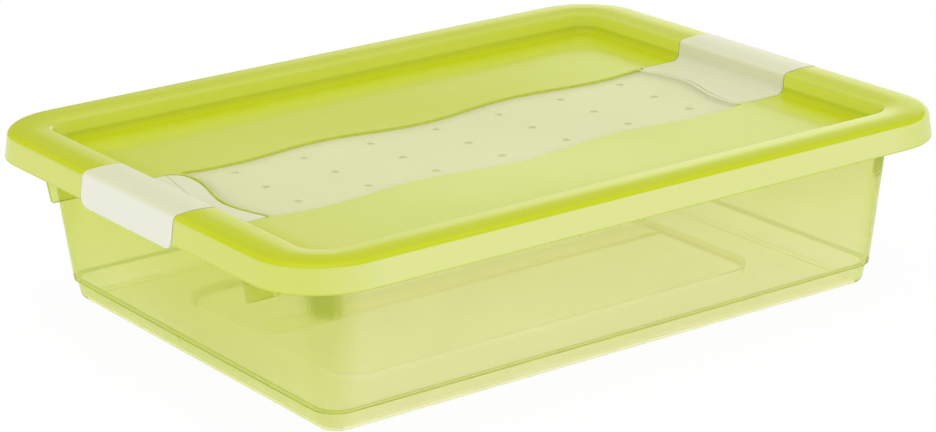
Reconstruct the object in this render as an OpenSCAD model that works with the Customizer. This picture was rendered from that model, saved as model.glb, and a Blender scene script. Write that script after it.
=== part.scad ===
// Storage bin with a recessed lid, a vented middle strip and two end clips.
// Plus Z is up, the long side runs along X, and the origin is under the middle of the base.
// Sections are drawn as (u, z), where u is the distance inwards from an outer edge.

/* [Overall] */
// Length over the lid skirt
length = 395; // [340:1:480]
// Width over the lid skirt
width = 300; // [250:1:370]
// Height from the surface it stands on to the top of the lid rim
height = 92.4; // [80:0.1:130]
// Plan radius of the lid corners at the foot of the skirt
lid_corner_r = 38.5; // [36:0.5:50]

/* [Container] */
// Wall thickness of the container
wall = 1.8; // [1.4:0.1:2.4]
// Distance from the lid's edge to the container wall, at the short ends
end_overhang = 22.5; // [18:0.5:27]
// Distance from the lid's edge to the container wall, at the long sides
side_overhang = 19.5; // [16:0.5:20]
// Plan radius of the container's corners at the top of the wall
wall_corner_r = 21; // [19.5:0.5:28]
// How far the wall leans inwards from its top down to the step
wall_lean = 7.4; // [4:0.1:9]
// Height of the step above the base
step_z = 11; // [9:0.5:18]
// How far the step sets the plinth back
step_in = 1.5; // [0.8:0.1:2.4]
// Radius of the rounded bottom edge
bottom_r = 4.5; // [3:0.5:6]
// Thickness of the floor
floor_t = 2; // [1.4:0.1:3]
// Height of the foot ring under the floor
foot_h = 1; // [0.4:0.1:2]
// Length of the raised field in the floor
field_l = 256; // [180:2:280]
// Width of the raised field in the floor
field_w = 152; // [100:2:190]
// Rise of the raised field
field_rise = 3; // [1.5:0.5:5]
// Plan radius of the raised field's corners
field_r = 18; // [6:1:30]
// Width of the bead along the middle of the floor
bead_w = 16; // [8:1:30]
// Rise of the bead
bead_rise = 1.6; // [0.8:0.1:3]
// Distance of the carrying flange's edge inside the lid's edge
flange_in = 5.5; // [5.2:0.1:6.4]
// Thickness of the carrying flange
flange_t = 2; // [1.5:0.1:2.5]
// Depth of the lip that hangs from the flange's edge
lip_h = 5.6; // [3:0.1:6.5]
// Spread of the two webs under each end flange, middle to middle
web_spread = 183; // [150:1:200]
// Thickness of a web
web_t = 2; // [1.4:0.1:3]
// Height of a web below the lip
web_drop = 17; // [8:0.5:24]
// Height of the thickened pad inside each corner
pad_h = 18.5; // [10:0.5:30]
// How far a corner pad stands in from the wall
pad_in = 2; // [0.6:0.1:2.4]

/* [Lid] */
// Wall thickness of the lid
lid_t = 1.8; // [1.4:0.1:2]
// Height of the lid's outside, from the foot of the skirt to the top of the rim
lid_h = 14; // [13:0.5:15]
// Width of the rim from the lid's edge to the recess
rim_w = 25; // [24.5:0.5:25.5]
// Depth of the recess below the top of the rim
recess_d = 11.6; // [11:0.1:12]
// Radius of the rim's outer shoulder
shoulder_r = 3.6; // [3:0.1:5]
// How far the skirt leans inwards
skirt_lean = 1.5; // [0.8:0.1:2]
// Radius of the rim's crown
crown_r = 80; // [60:5:200]
// Radius of the rim's inner edge
inner_edge_r = 2.4; // [2.1:0.1:3]
// Radius of the hollow at the foot of the recess wall
foot_r = 4; // [2:0.5:5]
// Gap between the lid's resting rib and the container's flange
seat_gap = 0.3; // [0.2:0.05:0.5]

/* [Vented strip] */
// Width of the strip
strip_w = 86; // [70:1:100]
// Thickness of the strip
strip_t = 1.8; // [1.4:0.1:2.2]
// Depth of the strip's face below the panel
strip_drop = 1.4; // [1:0.1:2.5]
// Swing of the strip's wavy edges
strip_wave = 3.3; // [0:0.1:5]
// Length of one wave of the strip's edges
strip_pitch = 116; // [80:1:160]
// Width of the ledge that carries the strip
ledge_w = 4; // [2.5:0.5:6]
// Diameter of a vent
vent_d = 3.2; // [2:0.1:5]
// Spacing of the vents along the strip
vent_pitch_x = 40; // [30:1:41]
// Spacing of the vents across the strip
vent_pitch_y = 28.5; // [16:0.5:30]
// Vents along the strip
vents_x = 7; // [3:1:7]
// Vents across the strip
vents_y = 3; // [1:1:3]

/* [Clips] */
// Width of a clip
clip_w = 85; // [70:1:100]
// Thickness of a clip
clip_t = 2; // [1.6:0.1:2.2]
// How far a clip stands proud of the lid
clip_proud = 0.2; // [0:0.1:0.6]
// How far the flap hangs below the skirt
flap_drop = 3; // [1:0.5:5]
// Radius of the flap's lower corners
flap_r = 6; // [3:0.5:10]
// Distance from the middle of the lid to the middle line of the wavy edge
tongue_x = 147.4; // [138:0.1:152]
// Swing of the tongue's wavy edge
tongue_wave = 4.1; // [0:0.1:5]
// Radius of the tongue's full corner
tongue_r = 7; // [2:0.5:9]
// Radius of the tongue's other corner, at its tip
tip_r = 2; // [1:0.5:4]
// Gap round a clip in its seat
clip_gap = 0.5; // [0.35:0.05:1]
// Gap between the tongue's wavy edge and the rib in front of it
rib_gap = 1.2; // [1:0.1:2]
// Radius of a hinge journal
journal_r = 1.5; // [1.2:0.1:2]
// Clearance between a journal and its bore, on the radius
journal_gap = 0.05; // [0.02:0.01:0.1]
// Length of a journal
journal_l = 2.4; // [1.5:0.1:4]

/* [Hidden] */
$fn = 48;
lime = "yellowgreen";
milky = "ivory";
eps = 0.01;

half_l = length/2;
half_w = width/2;
skirt_z = height - lid_h;
panel_z = height - recess_d;
strip_z = panel_z - strip_drop;
shoulder_u = skirt_lean + shoulder_r;
crown_u = rim_w/2;
recess_lean = 0.6;
slab_lap = 4;
slab_u = rim_w + recess_lean + foot_r + slab_lap;
plate_u = slab_u - slab_lap/2;
rib_u = 11;
rib_t = 1.6;

flange_z = panel_z + 5.8;
box_l = half_l - end_overhang;
box_w = half_w - side_overhang;
collar_gap = 0.5;
clip_back = clip_t + 0.2;
wall_u = rim_w - clip_back;
flare = max(1.2, end_overhang + wall + collar_gap + lid_t - wall_u);
flare_z = skirt_z - 2;
floor_z = foot_h + floor_t;
plinth_lean = 1.3;
foot_w = 3.3;
web_slant = 3;
web_chamfer = 0.6;
floor_in = min(wall_lean + step_in + plinth_lean + bottom_r + foot_w, wall_corner_r - 1);
bead_end = 6;
pad_from = 34;
pad_arc = 32;
guide_u = side_overhang - flare + wall + collar_gap;
guide_t = 1.4;
guide_h = 4;
guide_taper = 0.6;
guide_l = 46;
guide_pitch = 92;

barrel_r = journal_r + 0.7;
barrel_gap = 0.6;
axle_x = tongue_x + tongue_wave + barrel_r + 2.3;
axle_z = panel_z - barrel_r - 0.1;
cheek_t = journal_l + 1.2;
cheek_l = 2*journal_r + 5;
notch_w = clip_w + 2*clip_gap;
divider_t = 1.2;
frame_z = axle_z - 4.5;
tongue_gap = 0.3;
tongue_peak = 29;
tongue_pitch = 86;
seat_z = panel_z - clip_t - tongue_gap;
saddle_drop = clip_t + 0.2;
saddle_u = skirt_lean + 5.4;
bead_reach = 2.2;
bead_tall = 1.8;
bead_root = 0.4;

// Height of the rim's crown at u, lowered by d
function crown(u, d) = height - d - crown_r + sqrt(pow(crown_r, 2) - pow(u - crown_u, 2));

// Sideways shift of the strip's edges at x
function sway(x) = strip_wave*cos(360*(x + strip_pitch/2)/strip_pitch);

// Distance of the tongue's wavy edge from the middle of the lid, at y
function tongue_end(y) = tongue_x - tongue_wave*cos(360*(y - tongue_peak)/tongue_pitch);

// Length lost at a corner of radius r, at a distance u from the side
function corner_cut(u, r) = u < r ? r - sqrt(pow(r, 2) - pow(r - u, 2)) : 0;

module rounded_plan(a, b, r) {
    square([2*a, 2*(b - r)], center = true);
    square([2*(a - r), 2*b], center = true);
    for (x = [-1, 1], y = [-1, 1])
        translate([x*(a - r), y*(b - r)])
            circle(r = r);
}

// Sweeps a (u, z) section round a rounded rectangle of half sizes a and b
module swept(a, b, r) {
    for (k = [0:3]) {
        sx = (k == 0 || k == 3) ? 1 : -1;
        sy = (k < 2) ? 1 : -1;
        translate([sx*(a - r), sy*(b - r), 0])
            rotate(90*k)
                rotate_extrude(angle = 90)
                    translate([r, 0])
                        mirror([1, 0])
                            children();
    }
    for (k = [0, 1]) {
        rotate(180*k)
            run(b, 2*(a - r))
                children();
        rotate(90 + 180*k)
            run(a, 2*(b - r))
                children();
    }
}

// A straight run of a (u, z) section whose outer edge lies at y = b
module run(b, l) {
    translate([-l/2, 0, 0])
        rotate([90, 0, 90])
            linear_extrude(l)
                translate([b, 0])
                    mirror([1, 0])
                        children();
}

// The container

// Outside of the wall and plinth, moved inwards by t, with its base at z0
module box_section(t, z0) {
    plinth_u = wall_lean + step_in;
    base_u = plinth_u + plinth_lean;
    arc = bottom_r - t;
    top = flange_z + (t > 0 ? 1 : 0);
    polygon([
        [t - flare, top],
        [t - flare, flare_z + 0.4],
        [t, flare_z - flare],
        [t + wall_lean, step_z + t/2],
        [t + plinth_u, step_z + t/2],
        [t + base_u, bottom_r],
        [bottom_r + base_u, bottom_r],
        [bottom_r + base_u, z0],
        [floor_in + 5, z0],
        [floor_in + 5, top],
    ]);
    if (arc > 0)
        translate([bottom_r + base_u, bottom_r])
            circle(r = arc);
}

module box_wall() {
    swept(box_l, box_w, wall_corner_r)
        intersection() {
            difference() {
                box_section(0, 0);
                box_section(wall, floor_z);
            }
            translate([-flare - 1, 0])
                square([floor_in + flare + 1, flange_z]);
        }
}

module box_floor() {
    inner = floor_in - 1;
    top_z = floor_z + field_rise;
    difference() {
        translate([0, 0, foot_h])
            linear_extrude(floor_t)
                rounded_plan(box_l - inner, box_w - inner, wall_corner_r - inner);
        translate([0, 0, foot_h - 1])
            linear_extrude(floor_t + 2)
                rounded_plan(field_l/2 - floor_t, field_w/2 - floor_t, field_r - floor_t);
    }
    translate([0, 0, foot_h])
        linear_extrude(top_z - foot_h)
            difference() {
                rounded_plan(field_l/2, field_w/2, field_r);
                rounded_plan(field_l/2 - floor_t, field_w/2 - floor_t, field_r - floor_t);
            }
    translate([0, 0, top_z - floor_t])
        linear_extrude(floor_t)
            rounded_plan(field_l/2 - floor_t/2, field_w/2 - floor_t/2, field_r - floor_t/2);
    translate([0, 0, top_z - floor_t/2])
        linear_extrude(bead_rise + floor_t/2)
            rounded_plan(field_l/2 - bead_end, bead_w/2, bead_w/2 - 0.5);
}

module flange() {
    edge_r = lid_corner_r - flange_in;
    translate([0, 0, flange_z - flange_t])
        linear_extrude(flange_t)
            difference() {
                rounded_plan(half_l - flange_in, half_w - flange_in, edge_r);
                rounded_plan(box_l + flare - wall/2, box_w + flare - wall/2, wall_corner_r + flare - wall/2);
            }
    translate([0, 0, flange_z - flange_t - lip_h])
        linear_extrude(lip_h + flange_t/2)
            difference() {
                rounded_plan(half_l - flange_in, half_w - flange_in, edge_r);
                rounded_plan(half_l - flange_in - wall, half_w - flange_in - wall, edge_r - wall);
            }
}

// Web under an end flange, from the wall out to a slanted edge
module web() {
    lip_z = flange_z - flange_t - lip_h;
    foot_z = lip_z - web_drop;
    reach = half_l - flange_in - wall/2;
    translate([0, web_t/2, 0])
        rotate([90, 0, 0])
            linear_extrude(web_t)
                polygon([
                    [box_l - wall_lean/2 - wall/2, foot_z],
                    [reach - web_slant - web_chamfer, foot_z],
                    [reach - web_slant, foot_z + web_chamfer],
                    [reach, lip_z + 1],
                    [reach, flange_z - flange_t/2],
                    [box_l + flare - wall/2, flange_z - flange_t/2],
                    [box_l + flare - wall/2, flare_z],
                    [box_l - wall/2, flare_z - flare],
                ]);
}

// Thickened pad on the inside of a corner of the wall
module corner_pad(k) {
    sx = (k == 0 || k == 3) ? 1 : -1;
    sy = (k < 2) ? 1 : -1;
    low = flare_z - pad_h;
    slope = wall_lean/(flare_z - flare - step_z);
    low_r = wall_corner_r - slope*(pad_h - flare);
    top_r = wall_corner_r + flare - wall/2;
    start = (k % 2 == 0) ? pad_from : 90 - pad_from - pad_arc;
    translate([sx*(box_l - wall_corner_r), sy*(box_w - wall_corner_r), 0])
        rotate(90*k + start)
            rotate_extrude(angle = pad_arc)
                polygon([
                    [low_r - wall/2, low],
                    [low_r - wall - pad_in/2, low],
                    [low_r - wall - pad_in, low + pad_in],
                    [wall_corner_r - wall - pad_in, flare_z - flare],
                    [wall_corner_r - wall - pad_in, flare_z],
                    [top_r, flare_z],
                    [wall_corner_r - wall/2, flare_z - flare],
                ]);
}

module container() {
    color(lime) {
        box_wall();
        box_floor();
        flange();
        for (k = [0:3])
            corner_pad(k);
        for (k = [0, 180], y = [-0.5, 0.5])
            rotate(k)
                translate([0, y*web_spread, 0])
                    web();
    }
}

// The lid

// Outside of the rim, moved inwards by t at its faces and lowered by d on top,
// with the recess face at u = face and its foot at z0
module rim_section(t, d, face, z0) {
    arc = shoulder_r - t;
    edge_arc = max(inner_edge_r - d, 0.3);
    shoulder_z = crown(shoulder_u, d) - arc;
    edge_z = crown(face - edge_arc, d) - edge_arc;
    polygon([
        [t, z0],
        [t, skirt_z],
        [shoulder_u - arc, shoulder_z],
        [shoulder_u, shoulder_z],
        [face - edge_arc, edge_z],
        [face, edge_z],
        [face + recess_lean, panel_z + foot_r],
        [face + recess_lean, z0],
    ]);
    translate([shoulder_u, shoulder_z])
        circle(r = arc);
    translate([face - edge_arc, edge_z])
        circle(r = edge_arc);
    intersection() {
        translate([crown_u, height - d - crown_r])
            circle(r = crown_r, $fn = 360);
        translate([shoulder_u, shoulder_z - 1])
            square([face - edge_arc - shoulder_u, shoulder_r + 4]);
    }
}

// Fillet of radius r between a wall at u and a flat at z, on the side of higher u
module foot_fillet(u, z, r) {
    translate([u - 0.2, z - 0.2])
        difference() {
            square(r + 0.2);
            translate([r + 0.2, r + 0.2])
                circle(r = r);
        }
}

module lid_section() {
    difference() {
        rim_section(0, 0, rim_w, skirt_z);
        rim_section(lid_t, lid_t, rim_w - lid_t, skirt_z - 1);
    }
    translate([rim_w, panel_z - lid_t])
        square([slab_u - rim_w, lid_t]);
    foot_fillet(rim_w + recess_lean, panel_z, foot_r);
    translate([rib_u, flange_z + seat_gap])
        square([rib_t, crown(rib_u, lid_t) + 0.4 - flange_z - seat_gap]);
}

// Lowered stretch of rim that a clip lies over, in (u, z)
module saddle_section() {
    low = flange_z + seat_gap;
    inside = saddle_drop + lid_t;
    foot_z = seat_z - lid_t;
    difference() {
        intersection() {
            rim_section(0, saddle_drop, wall_u, foot_z);
            union() {
                translate([saddle_u, low])
                    square([rim_w, height]);
                translate([wall_u - lid_t - 0.1, foot_z])
                    square([rim_w, height]);
            }
        }
        intersection() {
            rim_section(lid_t, inside, wall_u - lid_t, foot_z - 1);
            translate([saddle_u + lid_t, foot_z - 1])
                square([rim_w, height]);
        }
    }
}

// Outline of the strip, widened by d on every side
module strip_plan(d) {
    n = 40;
    reach = tongue_x - rib_gap - divider_t - tongue_wave;
    far = [reach + 30, sway(reach)];
    middle = [for (i = [0:n]) let (x = reach*(2*i/n - 1)) [x, sway(x)]];
    spine = concat([[-far[0], far[1]]], middle, [far]);
    half = strip_w/2 + d;
    last = len(spine) - 1;
    intersection() {
        polygon(concat(
            [for (p = spine) [p[0], p[1] - half]],
            [for (i = [last:-1:0]) [spine[i][0], spine[i][1] + half]]));
        polygon(concat(
            tongue_rim(rib_gap + divider_t - d, 1),
            tongue_rim(rib_gap + divider_t - d, -1)));
    }
}

// One wavy end of the lid's middle, moved inwards by d: s is 1 for the right end
function tongue_rim(d, s) = [for (i = [0:30]) let (y = half_w*(i/30 - 0.5)) [s*(tongue_end(y) - d), -s*y]];

// Outline of the left tongue, widened by d, whose wavy edge moves inwards by gap
module tongue_plan(d, gap) {
    w = clip_w + 2*d;
    root = rim_w - half_l - 3;
    sides = [for (i = [0:32]) w/2*sin(90*(i/16 - 1))];
    cuts = [for (y = sides) corner_cut(w/2 - abs(y), y > 0 ? tongue_r : tip_r)];
    polygon(concat(
        [[root, w/2], [root, -w/2]],
        [for (i = [0:32]) [gap - tongue_end(sides[i]) - cuts[i], sides[i]]]));
}

// Slot that the tongue's end swings down through, widened by d
module slot_plan(d) {
    intersection() {
        tongue_plan(clip_gap + d, rib_gap + d);
        translate([-axle_x - barrel_r - barrel_gap - d, -half_w])
            square([half_l, width]);
    }
}

module lid_shell() {
    color(lime) {
        difference() {
            union() {
                rim_and_panel();
                for (k = [0, 180])
                    rotate(k)
                        clip_seat();
                translate([0, 0, strip_z - strip_t - lid_t])
                    linear_extrude(panel_z - strip_z + strip_t + lid_t)
                        strip_plan(lid_t);
            }
            for (k = [0, 180])
                rotate(k)
                    clip_room();
            translate([0, 0, strip_z - strip_t])
                linear_extrude(height)
                    strip_plan(0);
            translate([0, 0, frame_z - 1])
                linear_extrude(height)
                    strip_plan(-ledge_w);
        }
    }
}

module rim_and_panel() {
    difference() {
        union() {
            swept(half_l, half_w, lid_corner_r)
                lid_section();
            translate([0, 0, panel_z - lid_t])
                linear_extrude(lid_t)
                    rounded_plan(half_l - plate_u, half_w - plate_u, lid_corner_r - plate_u);
            for (k = [0, 180], x = [-1, 0, 1])
                rotate(k)
                    translate([x*guide_pitch, 0, 0])
                        run(half_w, guide_l)
                            guide_section();
        }
        for (k = [0, 180])
            rotate(k)
                translate([-half_l - 1, -notch_w/2, skirt_z - 1])
                    cube([rim_w + recess_lean + 1, notch_w, height]);
    }
}

// Tab under the rim that centres the lid in the container's mouth, in (u, z)
module guide_section() {
    low = flange_z - guide_h;
    polygon([
        [guide_u + guide_taper, low],
        [guide_u + guide_t, low],
        [guide_u + guide_t, crown(guide_u, lid_t) + 0.4],
        [guide_u, crown(guide_u, lid_t) + 0.4],
        [guide_u, low + 1],
    ]);
}

// Everything that carries the left clip: saddle, end walls, floor, slot frame and bearings
module clip_seat() {
    rotate(90)
        run(half_l, notch_w + lid_t)
            saddle_section();
    for (y = [-1, 1])
        translate([-half_l, y*(notch_w + lid_t)/2 + lid_t/2, 0])
            rotate([90, 0, 0])
                linear_extrude(lid_t)
                    intersection() {
                        rim_section(0, 0, rim_w, skirt_z);
                        translate([0, flange_z + seat_gap])
                            square([rim_w, height]);
                    }
    translate([wall_u - half_l, -notch_w/2 - divider_t, seat_z - lid_t])
        cube([half_l - wall_u - axle_x - barrel_r - barrel_gap, notch_w + 2*divider_t, clip_t + lid_t]);
    translate([0, 0, frame_z])
        linear_extrude(panel_z - frame_z)
            slot_plan(divider_t);
    for (y = [-1, 1])
        translate([-axle_x - cheek_l/2, y*(notch_w + cheek_t)/2 - cheek_t/2, frame_z])
            cube([cheek_l, cheek_t, panel_z - frame_z]);
}

// Everything cut away for the left clip: its tongue, its slot and its bearing holes
module clip_room() {
    translate([0, 0, seat_z])
        linear_extrude(height)
            intersection() {
                tongue_plan(clip_gap, rib_gap);
                translate([wall_u + recess_lean - half_l, -half_w])
                    square([half_l, width]);
            }
    translate([0, 0, frame_z - 1])
        linear_extrude(height)
            slot_plan(0);
    for (y = [-1, 1])
        translate([-axle_x, y*(notch_w/2 - 1), axle_z])
            rotate([-90*y, 0, 0])
                cylinder(r = journal_r + journal_gap, h = journal_l + 1.5);
}

module vent_strip() {
    color(milky)
        translate([0, 0, strip_z - strip_t])
            linear_extrude(strip_t)
                difference() {
                    strip_plan(0);
                    for (i = [0:vents_x - 1], j = [0:vents_y - 1])
                        translate([(i - (vents_x - 1)/2)*vent_pitch_x, (j - (vents_y - 1)/2)*vent_pitch_y])
                            circle(d = vent_d);
                }
}

// The clips

// Section of a clip from the flap over the rim to the foot of the recess wall
module clip_section() {
    flap_z = skirt_z - flap_drop;
    inner = clip_t - clip_proud;
    difference() {
        rim_section(-clip_proud, -clip_proud, rim_w, flap_z);
        rim_section(inner, inner, rim_w - clip_t, flap_z - 1);
    }
}

// Whole section of the left clip, in (x, z)
module clip_profile() {
    difference() {
        translate([-half_l, 0])
            union() {
                clip_section();
                foot_fillet(rim_w + recess_lean, panel_z, foot_r);
            }
        translate([-half_l + saddle_u + 4, 0])
            square([rim_w, panel_z - clip_t]);
    }
}

module clip() {
    flap_z = skirt_z - flap_drop;
    color(milky) {
        intersection() {
            translate([0, clip_w/2, 0])
                rotate([90, 0, 0])
                    linear_extrude(clip_w)
                        clip_profile();
            flap_outline(flap_z);
        }
        translate([0, 0, panel_z - clip_t])
            linear_extrude(clip_t)
                intersection() {
                    tongue_plan(0, 0);
                    translate([-half_l + rim_w + recess_lean - clip_t/2, -half_w])
                        square([half_l, width]);
                }
        translate([-axle_x, 0, axle_z])
            rotate([90, 0, 0])
                cylinder(r = barrel_r, h = clip_w, center = true);
        translate([-axle_x - barrel_r, -clip_w/2, axle_z])
            cube([2*barrel_r, clip_w, panel_z - axle_z - eps]);
        translate([-axle_x, 0, axle_z])
            rotate([90, 0, 0])
                cylinder(r = journal_r, h = clip_w + 2*journal_l, center = true);
        catch_bead(flap_z);
    }
}

// Rounds the flap's two lower corners
module flap_outline(z0) {
    r = flap_r;
    rotate([90, 0, 90])
        translate([0, 0, -half_l - 5])
            linear_extrude(half_l)
                union() {
                    translate([-clip_w/2, z0 + r])
                        square([clip_w, height]);
                    translate([-clip_w/2 + r, z0])
                        square([clip_w - 2*r, r + eps]);
                    for (y = [-1, 1])
                        translate([y*(clip_w/2 - r), z0 + r])
                            circle(r = r);
                }
}

// Bead inside the flap, which catches below the container's lip when the flap is pressed in
module catch_bead(z0) {
    x0 = -half_l + clip_t - clip_proud;
    low = z0 + 1.2;
    translate([0, clip_w/2 - flap_r, 0])
        rotate([90, 0, 0])
            linear_extrude(clip_w - 2*flap_r)
                polygon([
                    [x0 - bead_root, low - 0.9],
                    [x0 + bead_reach - bead_root, low - 0.4],
                    [x0 + bead_reach, low],
                    [x0 + bead_reach, low + bead_tall - 1],
                    [x0 - bead_root, low + bead_tall],
                ]);
}

module clip_left() {
    clip();
}

module clip_right() {
    rotate(180)
        clip();
}

container();
lid_shell();
vent_strip();
clip_left();
clip_right();
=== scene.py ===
"""Finishes a vented storage bin with a lid and two end clips, and sets its studio stage."""

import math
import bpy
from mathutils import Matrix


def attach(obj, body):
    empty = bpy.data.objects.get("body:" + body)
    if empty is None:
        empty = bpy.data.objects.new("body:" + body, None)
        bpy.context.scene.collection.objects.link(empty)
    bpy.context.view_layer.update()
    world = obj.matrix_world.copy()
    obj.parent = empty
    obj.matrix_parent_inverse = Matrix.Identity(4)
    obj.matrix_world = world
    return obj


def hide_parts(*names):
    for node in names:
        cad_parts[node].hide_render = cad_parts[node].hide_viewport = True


bl_info = {
    "name": "Vented Storage Bin",
    "version": (1, 0, 0),
    "blender": (4, 5, 0),
    "location": "3D View > Sidebar > Storage Bin",
    "description": "Moulded finishes for the bin's container, lid, vented strip and clips",
    "category": "Object",
}

import bmesh
import bpy
from bpy.props import FloatProperty, FloatVectorProperty, IntProperty, PointerProperty
from mathutils import Matrix, Vector

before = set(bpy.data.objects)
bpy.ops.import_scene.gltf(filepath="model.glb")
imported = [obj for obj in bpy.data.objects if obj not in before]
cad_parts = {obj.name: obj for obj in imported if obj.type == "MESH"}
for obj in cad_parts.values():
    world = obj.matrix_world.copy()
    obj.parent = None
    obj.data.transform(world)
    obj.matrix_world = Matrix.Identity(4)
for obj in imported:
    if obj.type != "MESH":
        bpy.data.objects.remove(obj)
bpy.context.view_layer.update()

MM = 0.001

# Places and sizes of the moulded shapes, in millimetres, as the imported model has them.
PANEL_Z = 80.8
STRIP_Z = 79.4
STEP_Z = 11.0
SKIRT_Z = 78.4
FLAP_X = 194.6
TONGUE_X = 153.5
# Half length, half width and corner radius of the lid, and of the raised field in the floor.
LID_OUTLINE = (197.5, 150.0, 38.5)
FIELD_OUTLINE = (128.0, 76.0, 18.0)
# The lid's thin middle hangs down by this much, within these half sizes.
LID_SAG = 1.6
SAG_HALF = (136.0, 112.0)
# The middle of a vent's rim lies this far under the strip's top.
RIM_SINK = 0.15

# Edges that turn by more than this stay sharp, or are rounded.
SHARP_DEGREES = 32

# Places on the stage, in metres.
PIVOT = (0, 0, 0.09)
FLOOR_SIZE = 12
KEY_PLACE = (-0.5, -0.4, 1.5)
KEY_AIM = (0, 0, 0.05)
KEY_SIZE = (1.6, 1.0)
# Steepness of a reflected ray between which the walls give way to the ceiling, and how far
# to the right it heads between which the dim side gives way to the window.
CEILING_RISE = (0.275, 0.304)
WINDOW_TURN = (0.42, 0.62)

# Settings that properties of one kind share.
COLOUR = {"subtype": "COLOR", "size": 3, "min": 0, "max": 1}
LENGTH = {"subtype": "DISTANCE", "unit": "LENGTH"}
ANGLE = {"subtype": "ANGLE", "unit": "ROTATION"}

# A noise texture's values lie mostly between these.
NOISE_LOW, NOISE_HIGH = 0.3, 0.7
# Share of cloud at the painted shade lines and corners, standing in for light that has run
# through the wall.
DEEP_CLOUD = 0.65

# Sockets of a Map Range node, and of a colour Mix node, whose own names repeat.
VALUE, START, END, LOW, HIGH = range(5)
SHARE, UNDER, OVER = 0, 6, 7


def linear(hex_colour):
    """Turns an sRGB hex colour into the linear numbers that shaders take."""
    channels = [int(hex_colour[i : i + 2], 16) / 255 for i in (1, 3, 5)]
    return tuple(c / 12.92 if c <= 0.04045 else ((c + 0.055) / 1.055) ** 2.4 for c in channels)


def add_node(tree, kind, inputs=None, **settings):
    """Adds one node with its settings, and sets or links its inputs.

    An input takes a plain value, another node's output, or a node, whose first output in use
    is then meant.
    """
    node = tree.nodes.new(kind)
    for key, value in settings.items():
        setattr(node, key, value)
    for key, value in (inputs or {}).items():
        if isinstance(value, bpy.types.Node):
            value = next(output for output in value.outputs if output.enabled)
        if isinstance(value, bpy.types.NodeSocket):
            tree.links.new(value, node.inputs[key])
        else:
            node.inputs[key].default_value = value
    return node


class BinFinish(bpy.types.PropertyGroup):
    """Colours and surface sizes of the moulded plastics."""

    lime_wall: FloatVectorProperty(
        name="Lime wall",
        description="Tint that light takes on when it passes one wall of the container",
        default=linear("#FFFFE2"),
        **COLOUR,
    )
    # Painted shade: the container's end walls take a deeper tint than its long walls.
    lime_wall_end_shade: FloatVectorProperty(
        name="Lime wall, end",
        description="The same tint in the container's end walls and corners",
        default=linear("#FAFFB4"),
        **COLOUR,
    )
    lime_cloud: FloatVectorProperty(
        name="Lime cloud",
        description="Colour of the light that the container's cloudy plastic scatters",
        default=linear("#FCFCD6"),
        **COLOUR,
    )
    lime_depth: FloatVectorProperty(
        name="Lime depth",
        description="Colour that light takes on when it runs a long way inside the container",
        default=linear("#F0F150"),
        **COLOUR,
    )
    # Painted shade: the cloud in the container's end walls is deeper than in its long walls.
    lime_end_shade: FloatVectorProperty(
        name="Lime end",
        description="Colour of the same cloud in the container's end walls and corners",
        default=linear("#DEE86C"),
        **COLOUR,
    )
    # Painted shade: the deeper line along the container's steps and floor field, and at the
    # lid's skirt foot.
    lime_shade_line: FloatVectorProperty(
        name="Lime line",
        description="Colour along the steps of the container, which light leaves edgeways",
        default=linear("#C6D83A"),
        **COLOUR,
    )
    lime_passing: FloatProperty(
        name="Lime passing",
        description="Share of the light that goes straight through one wall of the container",
        subtype="FACTOR",
        min=0,
        max=1,
        default=1.0,
    )
    lid_deep: FloatVectorProperty(
        name="Lid deep",
        description="Colour of the lid where it is thick or closed below",
        default=linear("#CFDA1C"),
        **COLOUR,
    )
    lid_glow: FloatVectorProperty(
        name="Lid glow",
        description="Colour of the recess wall, which light reaches from both sides",
        default=linear("#E2EC50"),
        **COLOUR,
    )
    # Painted light and sheen: pale where light passes the thin skirt, and also painted on the
    # rim's crown and the panels.
    lid_pale: FloatVectorProperty(
        name="Lid pale",
        description="Colour of the lid's thin skirt, which light passes",
        default=linear("#E4EA94"),
        **COLOUR,
    )
    natural: FloatVectorProperty(
        name="Natural",
        description="Colour of the milky plastic of the clips",
        default=linear("#EEEFCA"),
        **COLOUR,
    )
    natural_strip: FloatVectorProperty(
        name="Natural, strip",
        description="Colour of the milky plastic of the strip, over the lime lid",
        default=linear("#F1F2C4"),
        **COLOUR,
    )
    # Painted light: the clips' flaps are whiter where they hang free and light passes them.
    natural_backlit: FloatVectorProperty(
        name="Natural, free",
        description="Colour of the milky plastic where nothing lies behind it",
        default=linear("#F3F4E4"),
        **COLOUR,
    )
    grain: FloatProperty(
        name="Grain",
        description="Spacing of the moulded satin grain",
        min=0.0002,
        max=0.003,
        default=0.0009,
        **LENGTH,
    )


class BinVents(bpy.types.PropertyGroup):
    """Sizes of the vents in the strip."""

    columns: IntProperty(name="Columns", description="Vents along the strip", default=7, min=1)
    rows: IntProperty(name="Rows", description="Vents across the strip", default=3, min=1)
    pitch_along: FloatProperty(
        name="Pitch along",
        description="Spacing of the vents along the strip",
        default=0.04,
        **LENGTH,
    )
    pitch_across: FloatProperty(
        name="Pitch across",
        description="Spacing of the vents across the strip",
        default=0.0285,
        **LENGTH,
    )
    bore: FloatProperty(
        name="Bore",
        description="Diameter of a vent",
        default=0.0032,
        **LENGTH,
    )
    bead: FloatProperty(
        name="Bead",
        description="Radius of the rounded rim round a vent",
        default=0.00045,
        **LENGTH,
    )


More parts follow.
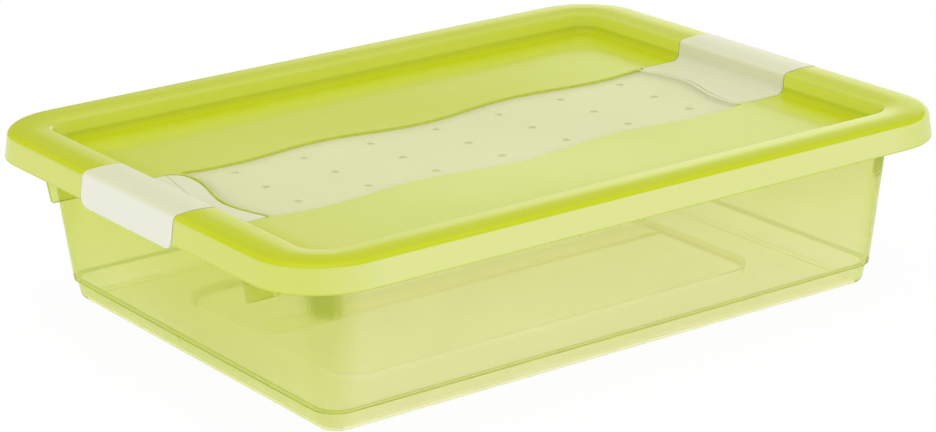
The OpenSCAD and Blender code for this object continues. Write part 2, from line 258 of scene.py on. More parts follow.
class BinStage(bpy.types.PropertyGroup):
    """Place of the camera, level of the lights and colour of the floor."""

    azimuth: FloatProperty(
        name="Azimuth",
        description="Turn of the camera about the bin, nought where it looks along plus Y",
        default=math.radians(-35.31),
        **ANGLE,
    )
    elevation: FloatProperty(
        name="Elevation",
        description="Height of the camera as an angle",
        default=math.radians(18.61),
        **ANGLE,
    )
    roll: FloatProperty(
        name="Roll",
        description="Tilt of the camera about its own axis",
        default=math.radians(-1.28),
        **ANGLE,
    )
    distance: FloatProperty(
        name="Distance",
        description="From the camera to the point it turns about",
        default=1.49735,
        **LENGTH,
    )
    drop: FloatProperty(
        name="Drop",
        description="How far the camera is moved down in its own picture plane",
        default=0.04837,
        **LENGTH,
    )
    lens: FloatProperty(
        name="Lens",
        description="Focal length on a sensor 36 mm wide",
        subtype="DISTANCE_CAMERA",
        unit="CAMERA",
        min=20,
        max=400,
        default=114.82,
    )
    world_level: FloatProperty(
        name="World level",
        description="Strength of the even light from all around",
        min=0,
        max=3,
        default=1.0,
    )
    ceiling_level: FloatProperty(
        name="Ceiling level",
        description="How bright the ceiling shows in the gloss, beside the white walls",
        min=0,
        max=1,
        default=0.15,
    )
    side_level: FloatProperty(
        name="Side level",
        description="How bright the wall on the far left shows in the gloss, beside the others",
        min=0,
        max=1,
        default=0.3,
    )
    window_level: FloatProperty(
        name="Window level",
        description="How bright the wall on the right shows in the gloss, beside the others",
        min=0,
        max=3,
        default=1.5,
    )
    paper: FloatVectorProperty(
        name="Paper",
        description="Colour of the floor's paper",
        default=linear("#FCFCFC"),
        **COLOUR,
    )
    whiteness: FloatProperty(
        name="Whiteness",
        description="Share of the floor's look that is plain white, beside its shadow",
        subtype="FACTOR",
        min=0,
        max=1,
        default=0.95,
    )
    key_power: FloatProperty(
        name="Key power",
        description="Power of the large lamp over the bin",
        subtype="POWER",
        unit="POWER",
        min=0,
        max=200,
        default=4,
    )


def place_in_mm(tree):
    """Object coordinates in millimetres, which every pattern here is set out in."""
    source = add_node(tree, "ShaderNodeTexCoord")
    return add_node(
        tree,
        "ShaderNodeVectorMath",
        {0: source.outputs["Object"], "Scale": 1 / MM},
        operation="SCALE",
    )


def new_material(name):
    """An empty node material, and its tree."""
    material = bpy.data.materials.new(name)
    material.use_nodes = True
    material.node_tree.nodes.clear()
    return material, material.node_tree


def distance_inwards(tree, parts, half_length, half_width, corner):
    """Distance inwards from a rounded rectangle's outline, in millimetres."""
    reach = []
    for axis, half in (("X", half_length), ("Y", half_width)):
        size = add_node(tree, "ShaderNodeMath", {0: parts[axis]}, operation="ABSOLUTE")
        reach.append(
            add_node(tree, "ShaderNodeMath", {0: size, 1: half - corner}, operation="SUBTRACT")
        )
    outside = [
        add_node(tree, "ShaderNodeMath", {0: value, 1: 0.0}, operation="MAXIMUM")
        for value in reach
    ]
    squares = [
        add_node(tree, "ShaderNodeMath", {0: value, 1: 2.0}, operation="POWER")
        for value in outside
    ]
    total = add_node(tree, "ShaderNodeMath", {0: squares[0], 1: squares[1]}, operation="ADD")
    radius = add_node(tree, "ShaderNodeMath", {0: total}, operation="SQRT")
    nearest = add_node(tree, "ShaderNodeMath", {0: reach[0], 1: reach[1]}, operation="MAXIMUM")
    inside = add_node(tree, "ShaderNodeMath", {0: nearest, 1: 0.0}, operation="MINIMUM")
    signed = add_node(tree, "ShaderNodeMath", {0: radius, 1: inside}, operation="ADD")
    return add_node(tree, "ShaderNodeMath", {0: corner, 1: signed}, operation="SUBTRACT")


def between(value, start, end, fade):
    """The two fades that leave a band between start and end."""
    return (value, start - fade, start), (value, end, end + fade, 1.0, 0.0)


def patch(tree, *fades):
    """How much a place belongs to a patch that several fades bound: their product.

    A fade is a value with its start and end, and with what it gives at each where that isn't
    nought and one, in the order of a Map Range node's sockets.
    """
    share = None
    for fade in fades:
        bound = add_node(tree, "ShaderNodeMapRange", dict(enumerate(fade)))
        if share is not None:
            bound = add_node(
                tree, "ShaderNodeMath", {0: share, 1: bound}, operation="MULTIPLY"
            )
        share = bound
    return share


def container_colours(tree, parts, finish):
    """Tint of clear light, colour of the cloud, and the share of painted shade at the lines and
    corners, by place.
    """
    along = add_node(tree, "ShaderNodeMath", {0: parts["X"]}, operation="ABSOLUTE")
    across = add_node(tree, "ShaderNodeMath", {0: parts["Y"]}, operation="ABSOLUTE")
    # Painted shade: the end walls take the deeper end tint and cloud.
    to_end = add_node(tree, "ShaderNodeMapRange", {VALUE: along, START: 150.0, END: 166.0})
    # The end wall deepens away from the corner that the lamp reaches.
    past_corner = add_node(
        tree,
        "ShaderNodeMapRange",
        {VALUE: parts["Y"], START: -110.0, END: -30.0, LOW: 0.3, HIGH: 1.0},
    )
    end_shade = add_node(
        tree, "ShaderNodeMath", {0: to_end, 1: past_corner}, operation="MULTIPLY"
    )
    by_length = add_node(
        tree,
        "ShaderNodeMix",
        {SHARE: end_shade, UNDER: (*finish.lime_wall, 1), OVER: (*finish.lime_wall_end_shade, 1)},
        data_type="RGBA",
    )
    # The paper below lights the foot of the wall, which looks paler for it.
    near_floor = add_node(
        tree,
        "ShaderNodeMapRange",
        {VALUE: parts["Z"], START: 8.0, END: 60.0, LOW: 0.75, HIGH: 0.0},
    )
    tint = add_node(
        tree,
        "ShaderNodeMix",
        {SHARE: near_floor, UNDER: by_length, OVER: (*linear("#FFFFFF"), 1)},
        data_type="RGBA",
    )
    # Painted shade: deeper lines where the wall steps in over the foot, and round the floor's
    # field.
    off_step = add_node(
        tree, "ShaderNodeMath", {0: parts["Z"], 1: STEP_Z}, operation="SUBTRACT"
    )
    off_step = add_node(tree, "ShaderNodeMath", {0: off_step}, operation="ABSOLUTE")
    step_shade_line = add_node(
        tree,
        "ShaderNodeMapRange",
        {VALUE: off_step, START: 0.3, END: 0.7, LOW: 1.0, HIGH: 0.0},
    )
    off_field = distance_inwards(tree, parts, *FIELD_OUTLINE)
    off_field = add_node(tree, "ShaderNodeMath", {0: off_field}, operation="ABSOLUTE")
    field_shade_line = patch(
        tree, (off_field, 0.6, 1.6, 0.25, 0.0), (parts["Z"], 8.0, 9.0, 1.0, 0.0)
    )
    line = add_node(
        tree, "ShaderNodeMath", {0: step_shade_line, 1: field_shade_line}, operation="MAXIMUM"
    )
    # Painted shade: the wall is deeper at its rounded corners, where it is seen edgeways, most
    # of all at the bosses on top.
    corner_shade = patch(
        tree,
        (along, 156.0, 164.0),
        (across, 111.0, 119.0),
        (parts["Z"], 56.0, 60.0, 0.2, 0.8),
    )
    # The share of painted shade, at the lines and corners.
    deep = add_node(tree, "ShaderNodeMath", {0: line, 1: corner_shade}, operation="MAXIMUM")
    body = add_node(
        tree,
        "ShaderNodeMix",
        {SHARE: to_end, UNDER: (*finish.lime_cloud, 1), OVER: (*finish.lime_end_shade, 1)},
        data_type="RGBA",
    )
    cloud = add_node(
        tree,
        "ShaderNodeMix",
        {SHARE: deep, UNDER: body, OVER: (*finish.lime_shade_line, 1)},
        data_type="RGBA",
    )
    return tint, cloud, deep


def clear_polypropylene(name, finish):
    """Clarified polypropylene, injection moulded.

    It is clear but cloudy, so what lies behind it blurs. Painted shade deepens the colour at
    the ends, the corners and along the steps, for light that has run a long way inside the
    wall.
    """
    material, tree = new_material(name)
    place = place_in_mm(tree)
    parts = add_node(tree, "ShaderNodeSeparateXYZ", {"Vector": place}).outputs
    tint, cloud_colour, deep = container_colours(tree, parts, finish)
    # Flow of the melt: waves some 48 mm long that the eye only sees in the reflections.
    flow = add_node(
        tree, "ShaderNodeTexNoise", {"Vector": place, "Scale": 1 / 48, "Detail": 1.0}
    )
    waves = add_node(
        tree, "ShaderNodeBump", {"Height": flow, "Strength": 0.2, "Distance": 0.5 * MM}
    )
    # The tool's polish is uneven over a few millimetres.
    polish = add_node(
        tree, "ShaderNodeTexNoise", {"Vector": place, "Scale": 1 / 6, "Detail": 2.0}
    )
    # The body bends light hardly at all, so that the thin wall doesn't darken or shift what
    # lies behind it. The coat has polypropylene's own index and carries its gloss.
    surface = add_node(
        tree,
        "ShaderNodeBsdfPrincipled",
        {
            "Base Color": tint,
            "Roughness": add_node(
                tree,
                "ShaderNodeMapRange",
                {VALUE: polish, START: NOISE_LOW, END: NOISE_HIGH, LOW: 0.10, HIGH: 0.16},
            ),
            "Normal": waves,
            "IOR": 1.05,
            "Transmission Weight": 1.0,
            "Coat Weight": 0.5,
            "Coat Roughness": 0.12,
            "Coat IOR": 1.49,
        },
    )
    glow = add_node(
        tree, "ShaderNodeBsdfTranslucent", {"Color": cloud_colour, "Normal": waves}
    )
    haze = add_node(tree, "ShaderNodeBsdfDiffuse", {"Color": cloud_colour, "Normal": waves})
    cloud = add_node(tree, "ShaderNodeMixShader", {0: 0.5, 1: glow, 2: haze})
    # Cloudiness drifts over some 60 mm, as the wall cooled, and rises where the shade is
    # painted.
    drift = add_node(
        tree, "ShaderNodeTexNoise", {"Vector": place, "Scale": 1 / 60, "Detail": 2.0}
    )
    cloudiness = add_node(
        tree,
        "ShaderNodeMath",
        {
            0: add_node(
                tree,
                "ShaderNodeMapRange",
                {VALUE: drift, START: NOISE_LOW, END: NOISE_HIGH, LOW: 0.20, HIGH: 0.26},
            ),
            1: add_node(tree, "ShaderNodeMath", {0: deep, 1: DEEP_CLOUD}, operation="MULTIPLY"),
        },
        operation="MAXIMUM",
    )
    both = add_node(tree, "ShaderNodeMixShader", {0: cloudiness, 1: surface, 2: cloud})
    # Lamp light passes the thin wall and reaches the floor and the inside, tinted once.
    passing = add_node(
        tree, "ShaderNodeBsdfTransparent", {"Color": (*finish.lime_cloud, 1)}
    )
    ray = add_node(tree, "ShaderNodeLightPath").outputs
    passed = add_node(
        tree,
        "ShaderNodeMath",
        {0: ray["Is Shadow Ray"], 1: finish.lime_passing},
        operation="MULTIPLY",
    )
    both = add_node(tree, "ShaderNodeMixShader", {0: passed, 1: both, 2: passing})
    inside = add_node(
        tree,
        "ShaderNodeVolumeAbsorption",
        {"Color": (*finish.lime_depth, 1), "Density": 76.0},
    )
    add_node(tree, "ShaderNodeOutputMaterial", {"Surface": both, "Volume": inside})
    return material


def satin_polypropylene(name, colour_of, grain, roughness, share_through):
    """Polypropylene moulded against a satin tool: soft gloss over fine grain, and some glow."""
    material, tree = new_material(name)
    place = place_in_mm(tree)
    # The tool's spark-eroded grain is some 0.1 mm wide. It is drawn as coarse as the grain
    # setting, which is the finest that shows in the render.
    fine = add_node(
        tree,
        "ShaderNodeTexNoise",
        {"Vector": place, "Scale": MM / grain, "Detail": 3.0, "Roughness": 0.55},
    )
    # Sink and flow leave the flats uneven over some 45 mm.
    slow = add_node(
        tree, "ShaderNodeTexNoise", {"Vector": place, "Scale": 1 / 45, "Detail": 1.0}
    )
    unevenness = add_node(
        tree, "ShaderNodeBump", {"Height": slow, "Strength": 0.2, "Distance": 0.4 * MM}
    )
    grained = add_node(
        tree,
        "ShaderNodeBump",
        {"Height": fine, "Normal": unevenness, "Strength": 0.1, "Distance": 0.03 * MM},
    )
    tint = colour_of(tree, place)
    # Roughness follows the grain, a little duller on its tops than in its hollows.
    surface = add_node(
        tree,
        "ShaderNodeBsdfPrincipled",
        {
            "Base Color": tint,
            "Roughness": add_node(
                tree,
                "ShaderNodeMapRange",
                {
                    VALUE: fine,
                    START: NOISE_LOW,
                    END: NOISE_HIGH,
                    LOW: roughness - 0.03,
                    HIGH: roughness + 0.05,
                },
            ),
            "Normal": grained,
            "IOR": 1.49,
        },
    )
    through = add_node(tree, "ShaderNodeBsdfTranslucent", {"Color": tint, "Normal": grained})
    both = add_node(
        tree, "ShaderNodeMixShader", {0: share_through, 1: surface, 2: through}
    )
    add_node(tree, "ShaderNodeOutputMaterial", {"Surface": both})
    return material


def lid_colour(finish):
    """Colour of the lid: deep in its rim and hollows, with painted light in the skirt and a
    painted sheen on the crown and panels.
    """

    def build(tree, place):
        parts = add_node(tree, "ShaderNodeSeparateXYZ", {"Vector": place}).outputs
        height = parts["Z"]
        inwards = distance_inwards(tree, parts, *LID_OUTLINE)
        along = add_node(tree, "ShaderNodeMath", {0: parts["X"]}, operation="ABSOLUTE")
        across = add_node(tree, "ShaderNodeMath", {0: parts["Y"]}, operation="ABSOLUTE")
        # Painted light: the thin skirt is pale where light passes it, less so towards the ends.
        skirt = patch(
            tree,
            (height, 90.1, 90.5, 1.0, 0.0),
            (inwards, 8.0, 9.0, 1.0, 0.0),
            (along, 150.0, 185.0, 1.0, 0.5),
        )
        # Painted sheen: the rim's crown grows paler inwards.
        crown = patch(tree, (inwards, 13.0, 23.5, 0.0, 0.3), (height, 89.0, 90.0))
        # Painted sheen: the panels are paler, more so at the front than at the back.
        panel = patch(tree, (inwards, 30.0, 50.0), (parts["Y"], -60.0, 60.0, 0.57, 0.27))
        # The paler share: painted light in the skirt and painted sheen on the crown and panels.
        thin = add_node(tree, "ShaderNodeMath", {0: skirt, 1: crown}, operation="MAXIMUM")
        thin = add_node(tree, "ShaderNodeMath", {0: thin, 1: panel}, operation="MAXIMUM")
        # Thickness drifts a little over some 70 mm.
        drift = add_node(
            tree, "ShaderNodeTexNoise", {"Vector": place, "Scale": 1 / 70, "Detail": 2.0}
        )
        more = add_node(
            tree,
            "ShaderNodeMapRange",
            {VALUE: drift, START: NOISE_LOW, END: NOISE_HIGH, LOW: -0.03, HIGH: 0.03},
        )
        thin = add_node(
            tree, "ShaderNodeMath", {0: thin, 1: more}, operation="ADD", use_clamp=True
        )
        colour = add_node(
            tree,
            "ShaderNodeMix",
            {SHARE: thin, UNDER: (*finish.lid_deep, 1), OVER: (*finish.lid_pale, 1)},
            data_type="RGBA",
        )
        # Painted light: light reaches the recess wall from both sides, so it takes the glow
        # colour.
        # Painted shade: a deeper line at the skirt's foot, where light running down the skirt
        # leaves it.
        # Painted light: the rib under one tongue takes on the milky plastic's light.
        recess_wall = (*between(inwards, 24.9, 25.7, 0.5), *between(height, 85.5, 89.4, 1.5))
        skirt_foot_shade = (
            *between(height, SKIRT_Z - 0.2, SKIRT_Z + 0.45, 0.25),
            (inwards, 2.0, 3.0, 0.8, 0.0),
        )
        rib = (
            *between(parts["X"], 138.0, 152.0, 0.2),
            (across, 40.0, 41.0, 1.0, 0.0),
            *between(height, 78.0, 81.5, 0.2),
        )
        for fades, over in (
            (recess_wall, finish.lid_glow),
            (skirt_foot_shade, finish.lime_shade_line),
            (rib, finish.natural),
        ):
            colour = add_node(
                tree,
                "ShaderNodeMix",
                {SHARE: patch(tree, *fades), UNDER: colour, OVER: (*over, 1)},
                data_type="RGBA",
            )
        return colour

    return build


def natural_colour(milky, free, free_from):
    """Milky undyed plastic, a little cloudy, with painted light: whiter where it hangs free of
    the lime and light passes it.
    """

    def build(tree, place):
        # Cloudiness drifts over some 80 mm, as the piece cooled.
        drift = add_node(
            tree, "ShaderNodeTexNoise", {"Vector": place, "Scale": 1 / 80, "Detail": 2.0}
        )
        dense = [channel * 0.95 for channel in milky]
        milk = add_node(
            tree,
            "ShaderNodeMix",
            {SHARE: drift, UNDER: (*milky, 1), OVER: (*dense, 1)},
            data_type="RGBA",
        )
        parts = add_node(tree, "ShaderNodeSeparateXYZ", {"Vector": place}).outputs
        along = add_node(tree, "ShaderNodeMath", {0: parts["X"]}, operation="ABSOLUTE")
        # Painted light: whiter where the piece hangs free of the lime.
        backlit = add_node(
            tree,
            "ShaderNodeMapRange",
            {VALUE: along, START: free_from, END: free_from + 1.0},
        )
        return add_node(
            tree,
            "ShaderNodeMix",
            {SHARE: backlit, UNDER: milk, OVER: (*free, 1)},
            data_type="RGBA",
        )

    return build


def floor_paper(name, stage):
    """Matt white paper, which the eye and the gloss see as white with a faint shadow on it."""
    material, tree = new_material(name)
    paper = add_node(tree, "ShaderNodeBsdfDiffuse", {"Color": (*stage.paper, 1)})
    white = add_node(tree, "ShaderNodeEmission", {"Color": (*linear("#FFFFFF"), 1)})
    ray = add_node(tree, "ShaderNodeLightPath").outputs
    seen = add_node(
        tree,
        "ShaderNodeMath",
        {0: ray["Is Camera Ray"], 1: ray["Is Glossy Ray"]},
        operation="MAXIMUM",
    )
    seen = add_node(
        tree, "ShaderNodeMath", {0: seen, 1: ray["Is Transmission Ray"]}, operation="MAXIMUM"
    )
    share = add_node(
        tree, "ShaderNodeMath", {0: seen, 1: stage.whiteness}, operation="MULTIPLY"
    )
    both = add_node(tree, "ShaderNodeMixShader", {0: share, 1: paper, 2: white})
    add_node(tree, "ShaderNodeOutputMaterial", {"Surface": both})
    return material


def round_edges(shape, edges, size, segments):
    """Rounds the given edges of a bmesh."""
    bmesh.ops.bevel(
        shape,
        geom=edges,
        offset=size,
        offset_type="OFFSET",
        segments=segments,
        profile=0.5,
        affect="EDGES",
        clamp_overlap=True,
        miter_outer="ARC",
    )


def sag_at(point, depth):
    """How far the lid's middle hangs down at a point, when it sags by depth in the middle."""
    drop = depth
    for axis, half in enumerate(SAG_HALF):
        out = min(abs(point[axis]) / (half * MM), 1.0)
        drop *= (1 + math.cos(math.pi * out)) / 2
    return drop


def sink(shape, depth):
    """Lets a bmesh sag by depth in the middle of the lid, as its thin panel does."""
    cuts = 24
    for axis, half in enumerate(SAG_HALF):
        for i in range(cuts + 1):
            place, normal = Vector((0, 0, 0)), Vector((0, 0, 0))
            place[axis] = half * MM * (2 * i / cuts - 1)
            normal[axis] = 1
            bmesh.ops.bisect_plane(
                shape,
                geom=[*shape.verts, *shape.edges, *shape.faces],
                plane_co=place,
                plane_no=normal,
                dist=0.001 * MM,
            )
    for vert in shape.verts:
        vert.co.z -= sag_at(vert.co, depth)


def smooth_copy(node_name, name, rounding=0.0, is_lip=None, lip=0.0, sag=0.0):
    """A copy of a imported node, smooth but for its sharp edges.

    With a rounding, its flats are joined up and its sharp edges rounded. Edges that is_lip
    accepts are rounded first, by the larger size lip. A piece of the lid's middle sinks by sag.
    """
    limit = math.radians(SHARP_DEGREES)
    shape = bmesh.new()
    shape.from_mesh(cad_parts[node_name].data)
    bmesh.ops.remove_doubles(shape, verts=shape.verts, dist=0.002 * MM)
    if rounding:
        bmesh.ops.dissolve_limit(
            shape, angle_limit=math.radians(0.3), verts=shape.verts, edges=shape.edges
        )
        if is_lip:
            round_edges(shape, [e for e in shape.edges if is_lip(e)], lip, segments=4)
        sharp = [
            e for e in shape.edges if len(e.link_faces) == 2 and e.calc_face_angle(0) > limit
        ]
        round_edges(shape, sharp, rounding, segments=2)
    if sag:
        sink(shape, sag)
    for face in shape.faces:
        face.smooth = True
    for edge in shape.edges:
        edge.smooth = len(edge.link_faces) == 2 and edge.calc_face_angle(0) < limit
    mesh = bpy.data.meshes.new(name)
    shape.to_mesh(mesh)
    shape.free()
    piece = bpy.data.objects.new(name, mesh)
    bpy.context.scene.collection.objects.link(piece)
    normals = piece.modifiers.new("Weighted Normal", "WEIGHTED_NORMAL")
    normals.keep_sharp = True
    normals.weight = 100
    view = bpy.context.evaluated_depsgraph_get()
    piece.data = bpy.data.meshes.new_from_object(piece.evaluated_get(view))
    piece.modifiers.clear()
    piece.data.name = name
    return piece


def dress(piece, material, body, slot_name, *nodes):
    """Gives a finished piece its material, its body and the nodes it stands for."""
    piece.data.materials.clear()
    piece.data.materials.append(material)
    for polygon in piece.data.polygons:
        polygon.material_index = 0
    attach(piece, body)
    if nodes:
        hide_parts(*nodes)


class BIN_OT_container(bpy.types.Operator):
    """Finish the container in clear lime plastic"""

    bl_idname = "bin.container"
    bl_label = "Container"

    def execute(self, context):
        finish = context.scene.bin_finish
        material = clear_polypropylene("clear_lime_polypropylene", finish)
        piece = smooth_copy("container", "container_moulded")
        dress(piece, material, "container", "lime_pp", "container")
        return {"FINISHED"}


class BIN_OT_lid(bpy.types.Operator):
    """Finish the lid's shell in satin lime plastic"""

    bl_idname = "bin.lid"
    bl_label = "Lid shell"

    def execute(self, context):
        finish = context.scene.bin_finish
        material = satin_polypropylene(
            "satin_lime_polypropylene",
            lid_colour(finish),
            finish.grain,
            roughness=0.19,
            share_through=0.12,
        )
        piece = smooth_copy("lid_shell", "lid_moulded", rounding=0.3 * MM, sag=LID_SAG * MM)
        dress(piece, material, "lid", "lid_pp", "lid_shell")
        return {"FINISHED"}


class BIN_OT_strip(bpy.types.Operator):
    """Finish the vented strip in natural plastic"""

    bl_idname = "bin.strip"
    bl_label = "Vented strip"

    def execute(self, context):
        finish = context.scene.bin_finish
        material = satin_polypropylene(
            "natural_polypropylene_strip",
            natural_colour(finish.natural_strip, finish.natural_strip, FLAP_X),
            finish.grain,
            roughness=0.3,
            share_through=0.3,
        )
        piece = smooth_copy(
            "vent_strip", "vent_strip_moulded", rounding=0.4 * MM, sag=LID_SAG * MM
        )
        dress(piece, material, "lid", "natural_pp", "vent_strip")
        vents = context.scene.bin_vents
        sizes = {
            "Columns": vents.columns,
            "Rows": vents.rows,
            "Pitch along": vents.pitch_along,
            "Pitch across": vents.pitch_across,
            "Rim radius": vents.bore / 2 + vents.bead,
            "Bead radius": vents.bead,
            "Height": (STRIP_Z - RIM_SINK) * MM,
        }
        rims = grown("vent_rims", vent_rim_tree(material), **sizes)
        for vert in rims.data.vertices:
            vert.co.z -= sag_at(vert.co, LID_SAG * MM)
        dress(rims, material, "lid", "natural_pp")
        return {"FINISHED"}


def vent_rim_tree(material):
    """Geometry nodes that stand a rounded rim at every point of a grid."""
    tree = bpy.data.node_groups.new("vent_rims", "GeometryNodeTree")
    sizes = (
        ("Columns", "NodeSocketInt"),
        ("Rows", "NodeSocketInt"),
        ("Pitch along", "NodeSocketFloat"),
        ("Pitch across", "NodeSocketFloat"),
        ("Rim radius", "NodeSocketFloat"),
        ("Bead radius", "NodeSocketFloat"),
        ("Height", "NodeSocketFloat"),
    )
    for name, kind in sizes:
        tree.interface.new_socket(name, in_out="INPUT", socket_type=kind)
    tree.interface.new_socket("Geometry", in_out="OUTPUT", socket_type="NodeSocketGeometry")
    given = add_node(tree, "NodeGroupInput").outputs
    spans = []
    for count, pitch in (("Columns", "Pitch along"), ("Rows", "Pitch across")):
        gaps = add_node(tree, "ShaderNodeMath", {0: given[count], 1: 1.0}, operation="SUBTRACT")
        spans.append(
            add_node(tree, "ShaderNodeMath", {0: gaps, 1: given[pitch]}, operation="MULTIPLY")
        )
    grid = add_node(
        tree,
        "GeometryNodeMeshGrid",
        {
            "Size X": spans[0],
            "Size Y": spans[1],
            "Vertices X": given["Columns"],
            "Vertices Y": given["Rows"],
        },
    )
    ring = add_node(
        tree,
        "GeometryNodeCurvePrimitiveCircle",
        {"Radius": given["Rim radius"], "Resolution": 28},
    )
    bead = add_node(
        tree,
        "GeometryNodeCurvePrimitiveCircle",
        {"Radius": given["Bead radius"], "Resolution": 10},
    )
    rim = add_node(tree, "GeometryNodeCurveToMesh", {"Curve": ring, "Profile Curve": bead})
    rims = add_node(tree, "GeometryNodeInstanceOnPoints", {"Points": grid, "Instance": rim})
    lift = add_node(tree, "ShaderNodeCombineXYZ", {"Z": given["Height"]})
    raised = add_node(
        tree, "GeometryNodeTranslateInstances", {"Instances": rims, "Translation": lift}
    )
    real = add_node(tree, "GeometryNodeRealizeInstances", {"Geometry": raised})
    finish = add_node(
        tree, "GeometryNodeSetMaterial", {"Geometry": real, "Material": material}
    )
    add_node(tree, "NodeGroupOutput", {"Geometry": finish})
    return tree


def grown(name, tree, **sizes):
    """The plain mesh object that a geometry node tree grows from the given sizes."""
    piece = bpy.data.objects.new(name, bpy.data.meshes.new(f"{name}_seed"))
    bpy.context.scene.collection.objects.link(piece)
    modifier = piece.modifiers.new(name, "NODES")
    modifier.node_group = tree
    for item in tree.interface.items_tree:
        if item.in_out == "INPUT" and item.name in sizes:
            modifier[item.identifier] = sizes[item.name]
    view = bpy.context.evaluated_depsgraph_get()
    mesh = bpy.data.meshes.new_from_object(piece.evaluated_get(view))
    piece.modifiers.clear()
    piece.data = mesh
    mesh.name = name
    for face in mesh.polygons:
        face.use_smooth = True
    return piece


class BIN_OT_clips(bpy.types.Operator):
    """Finish the two clips in natural plastic"""

    bl_idname = "bin.clips"
    bl_label = "Clips"

    def execute(self, context):
        finish = context.scene.bin_finish
        material = satin_polypropylene(
            "natural_polypropylene_clip",
            natural_colour(finish.natural, finish.natural_backlit, FLAP_X),
            finish.grain,
            roughness=0.3,
            share_through=0.15,
        )
        for side in ("left", "right"):
            piece = smooth_copy(
                f"clip_{side}",
                f"clip_{side}_moulded",
                rounding=0.4 * MM,
                is_lip=self.is_tongue_end,
                lip=1.2 * MM,
            )
            dress(piece, material, f"clip_{side}", "natural_pp", f"clip_{side}")
        return {"FINISHED"}

    @staticmethod
    def is_tongue_end(edge):
        """Whether an edge lies along the top of the tongue's wavy end, not along its sides."""
        nearly_square, facing_end = math.radians(68.75), 0.35
        if len(edge.link_faces) != 2 or edge.calc_face_angle(0) < nearly_square:
            return False
        if any(abs(v.co.z - PANEL_Z * MM) > 0.02 * MM for v in edge.verts):
            return False
        if any(abs(v.co.x) > TONGUE_X * MM for v in edge.verts):
            return False
        return any(abs(face.normal.x) > facing_end for face in edge.link_faces)


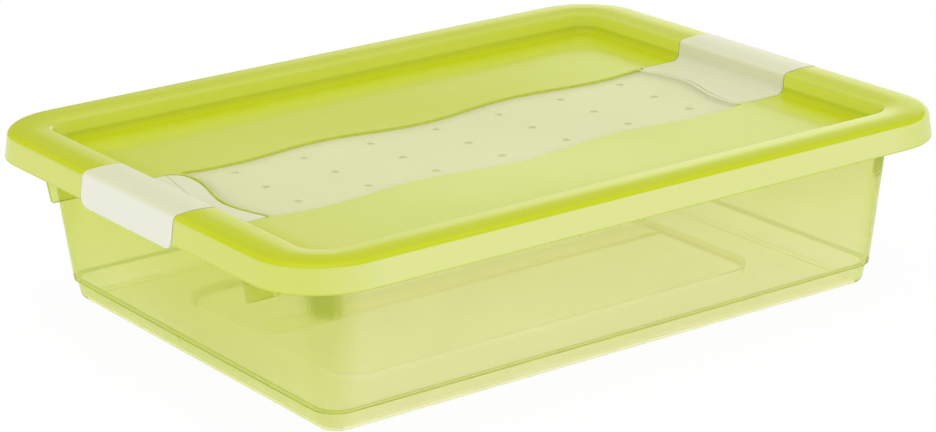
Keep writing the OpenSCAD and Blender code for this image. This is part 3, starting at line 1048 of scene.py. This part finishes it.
class BIN_OT_stage(bpy.types.Operator):
    """Set the camera, the floor and the lights"""

    bl_idname = "bin.stage"
    bl_label = "Stage"

    def execute(self, context):
        stage = context.scene.bin_stage
        self.camera(context, stage)
        self.floor(context, stage)
        self.lights(context, stage)
        context.scene.view_settings.view_transform = "Standard"
        return {"FINISHED"}

    def camera(self, context, stage):
        """Stands the camera at its angles about the pivot, moved down in its picture plane."""
        turn, rise = stage.azimuth, stage.elevation
        back = Vector(
            (math.sin(turn) * math.cos(rise), -math.cos(turn) * math.cos(rise), math.sin(rise))
        )
        level = Vector((math.cos(turn), math.sin(turn), 0))
        upright = back.cross(level)
        right = level * math.cos(stage.roll) + upright * math.sin(stage.roll)
        up = upright * math.cos(stage.roll) - level * math.sin(stage.roll)
        place = Vector(PIVOT) + back * stage.distance - up * stage.drop
        data = bpy.data.cameras.new("camera")
        data.lens = stage.lens
        data.sensor_fit = "HORIZONTAL"
        data.sensor_width = 36
        data.clip_start = 0.05
        data.clip_end = 30
        camera = bpy.data.objects.new("camera", data)
        columns = Matrix((right, up, back)).transposed().to_4x4()
        camera.matrix_world = Matrix.Translation(place) @ columns
        context.scene.collection.objects.link(camera)
        context.scene.camera = camera

    def floor(self, context, stage):
        """Lays the paper that the bin stands on."""
        bpy.ops.mesh.primitive_plane_add(size=FLOOR_SIZE, location=(0, 0, 0))
        floor = context.object
        floor.name = "floor"
        floor.data.materials.append(floor_paper("white_paper", stage))

    def lights(self, context, stage):
        """Sets an even white world, with a ceiling and walls for the gloss, and one lamp."""
        world = bpy.data.worlds.new("studio")
        world.use_nodes = True
        context.scene.world = world
        tree = world.node_tree
        tree.nodes.clear()
        white = (*linear("#FFFFFF"), 1)
        even = add_node(
            tree, "ShaderNodeBackground", {"Color": white, "Strength": stage.world_level}
        )
        direction = add_node(tree, "ShaderNodeTexCoord").outputs["Generated"]
        parts = add_node(tree, "ShaderNodeSeparateXYZ", {"Vector": direction}).outputs
        wall_level = add_node(
            tree,
            "ShaderNodeMapRange",
            {
                VALUE: parts["X"],
                START: WINDOW_TURN[0],
                END: WINDOW_TURN[1],
                LOW: stage.side_level,
                HIGH: stage.window_level,
            },
        )
        gloss_level = add_node(
            tree,
            "ShaderNodeMapRange",
            {
                VALUE: parts["Z"],
                START: CEILING_RISE[0],
                END: CEILING_RISE[1],
                LOW: wall_level,
                HIGH: stage.ceiling_level,
            },
        )
        in_gloss = add_node(
            tree, "ShaderNodeBackground", {"Color": white, "Strength": gloss_level}
        )
        ray = add_node(tree, "ShaderNodeLightPath").outputs
        both = add_node(
            tree, "ShaderNodeMixShader", {0: ray["Is Glossy Ray"], 1: even, 2: in_gloss}
        )
        add_node(tree, "ShaderNodeOutputWorld", {"Surface": both})
        lamp = bpy.data.lights.new("key", "AREA")
        lamp.shape = "RECTANGLE"
        lamp.size, lamp.size_y = KEY_SIZE
        lamp.energy = stage.key_power
        key = bpy.data.objects.new("key", lamp)
        key.location = KEY_PLACE
        aim = Vector(KEY_AIM) - key.location
        key.rotation_euler = aim.to_track_quat("-Z", "Y").to_euler()
        context.scene.collection.objects.link(key)


class BIN_PT_panel(bpy.types.Panel):
    """Lists the bin's pieces and its stage"""

    bl_idname = "BIN_PT_panel"
    bl_label = "Storage Bin"
    bl_space_type = "VIEW_3D"
    bl_region_type = "UI"
    bl_category = "Storage Bin"

    def draw(self, context):
        layout = self.layout
        scene = context.scene
        for group in (scene.bin_finish, scene.bin_vents, scene.bin_stage):
            for name in group.__annotations__:
                layout.prop(group, name)
        for operator in OPERATORS:
            layout.operator(operator.bl_idname)


GROUPS = (BinFinish, BinVents, BinStage)
OPERATORS = (BIN_OT_stage, BIN_OT_container, BIN_OT_lid, BIN_OT_strip, BIN_OT_clips)


def register():
    """Registers the classes and hangs the settings on the scene."""
    for item in (*GROUPS, *OPERATORS, BIN_PT_panel):
        bpy.utils.register_class(item)
    bpy.types.Scene.bin_finish = PointerProperty(type=BinFinish)
    bpy.types.Scene.bin_vents = PointerProperty(type=BinVents)
    bpy.types.Scene.bin_stage = PointerProperty(type=BinStage)


def unregister():
    """Takes the settings and the classes away again."""
    del bpy.types.Scene.bin_stage
    del bpy.types.Scene.bin_vents
    del bpy.types.Scene.bin_finish
    for item in reversed((*GROUPS, *OPERATORS, BIN_PT_panel)):
        bpy.utils.unregister_class(item)


def main():
    """Makes every piece."""
    register()
    for operator in OPERATORS:
        group, name = operator.bl_idname.split(".")
        getattr(getattr(bpy.ops, group), name)()


if __name__ == "__main__":
    main()
